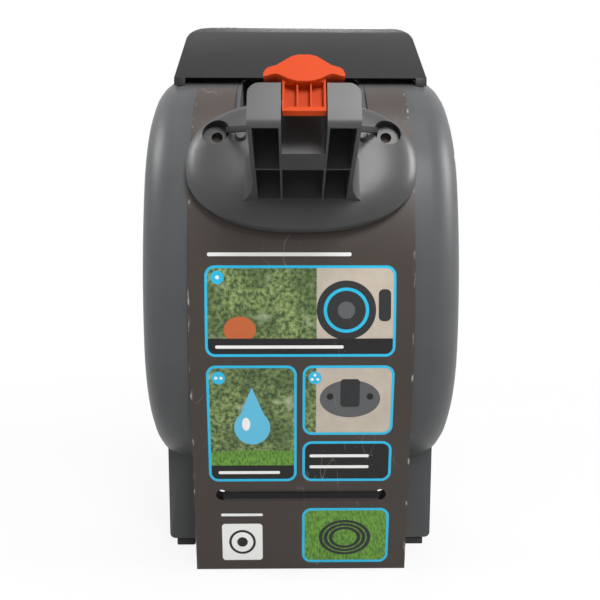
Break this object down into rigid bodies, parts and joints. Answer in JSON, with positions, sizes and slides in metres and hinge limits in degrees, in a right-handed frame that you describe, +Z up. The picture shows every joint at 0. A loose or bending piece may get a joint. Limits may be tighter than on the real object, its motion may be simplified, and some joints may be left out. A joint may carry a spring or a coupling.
{
  "type": "wall-mounted hose reel box",
  "caption": "Wall-mounted hose reel box with spring rewind, hose guide, carrying handle and front lid, with its wall brackets and a printed card tied to the back.",
  "frame": {"origin": "on the floor, under the middle of the whole object", "axes": "+X across the box to the right of someone who looks at its back, +Y from the back to the front, +Z up"},
  "size_m": [0.267, 0.573, 0.519],
  "materials": {
    "shell_grey": "fine texture",
    "handle_grey": "satin",
    "cover_grey": "satin",
    "accent_teal": "satin",
    "bracket_grey": "satin",
    "lever_orange": "satin",
    "tie_black": "satin",
    "rubber_black": "matt",
    "card_print": "printed, coated",
    "bare_steel": "plain",
    "gear_white": "plain",
    "hose_grey": "smooth",
    "trim_black": "satin",
    "brass_fit": "plain",
    "tray_grey": "plain"
  },
  "bodies": {
    "housing": {"left_shell": "shell_grey", "right_shell": "shell_grey", "left_side_cover": "cover_grey", "right_side_cover": "cover_grey", "left_trim_ring": "accent_teal", "right_trim_ring": "accent_teal", "handle": "handle_grey", "swivel_pocket": "handle_grey", "swivel_pin": "bare_steel", "lower_swivel_post": "bare_steel", "foot_pads": "rubber_black", "housing_screws": "bare_steel", "handle_screws": "bare_steel", "upper_bracket": "bracket_grey", "lever_pin": "bare_steel", "lower_bracket": "bracket_grey", "upper_tie": "tie_black", "lower_tie": "tie_black", "instruction_card": "card_print", "axle": "bare_steel", "spring_arbor": "bare_steel", "pawl_pin": "bare_steel", "guide_belt": "rubber_black", "guide_rod": "bare_steel", "outlet_bezel": "trim_black", "lid_pin": "bare_steel", "accessory_tray": "tray_grey", "inlet_fitting": "brass_fit", "inlet_seals": "rubber_black"},
    "drum": {"axle_bushes": "gear_white", "drum_core": "cover_grey", "left_flange": "cover_grey", "right_flange": "cover_grey", "hose_inner_layers": "hose_grey", "hose_winding": "hose_grey", "spring_case": "cover_grey", "spring_cover": "cover_grey", "rewind_spring": "bare_steel", "ratchet_wheel": "gear_white", "drum_pulley": "gear_white"},
    "screw": {"guide_screw": "bare_steel", "guide_pulley": "gear_white"},
    "carriage": {"guide_carriage": "lever_orange", "hose_end": "hose_grey", "hose_stop": "lever_orange", "end_connector": "trim_black"},
    "pawl": {"pawl": "lever_orange"},
    "lever": {"lock_lever": "lever_orange"},
    "lid": {"front_lid": "handle_grey"},
    "latch": {"lid_latch": "lever_orange"}
  },
  "joints": [
    {"name": "drum_spin", "type": "hinge", "parent": "housing", "child": "drum", "pos_m": [0, 0.02654, 0.266], "axis": [1, 0, 0], "range_deg": [-1400, 1400]},
    {"name": "screw_spin", "type": "hinge", "parent": "housing", "child": "screw", "pos_m": [0, 0.18944, 0.21401], "axis": [1, 0, 0], "range_deg": [-4210, 4210]},
    {"name": "guide_slide", "type": "slide", "parent": "housing", "child": "carriage", "axis": [1, 0, 0], "range_m": [-0.0615, 0.0615]},
    {"name": "pawl_pivot", "type": "hinge", "parent": "housing", "child": "pawl", "pos_m": [-0.084, 0.06054, 0.34], "axis": [-1, 0, 0], "range_deg": [0, 12]},
    {"name": "lever_pivot", "type": "hinge", "parent": "housing", "child": "lever", "pos_m": [0, -0.18992, 0.37183], "axis": [-1, 0, 0], "range_deg": [0, 70]},
    {"name": "lid_hinge", "type": "hinge", "parent": "housing", "child": "lid", "pos_m": [0, 0.20479, 0.378], "axis": [1, 0, 0], "range_deg": [0, 100]},
    {"name": "latch_slide", "type": "slide", "parent": "lid", "child": "latch", "axis": [0, 0, 1], "range_m": [0, 0.005]}
  ],
  "couplings": [
    {"joint": "screw_spin", "follows": "drum_spin", "ratio": 3},
    {"joint": "guide_slide", "follows": "drum_spin", "m_per_rad": 0.0024987}
  ]
}
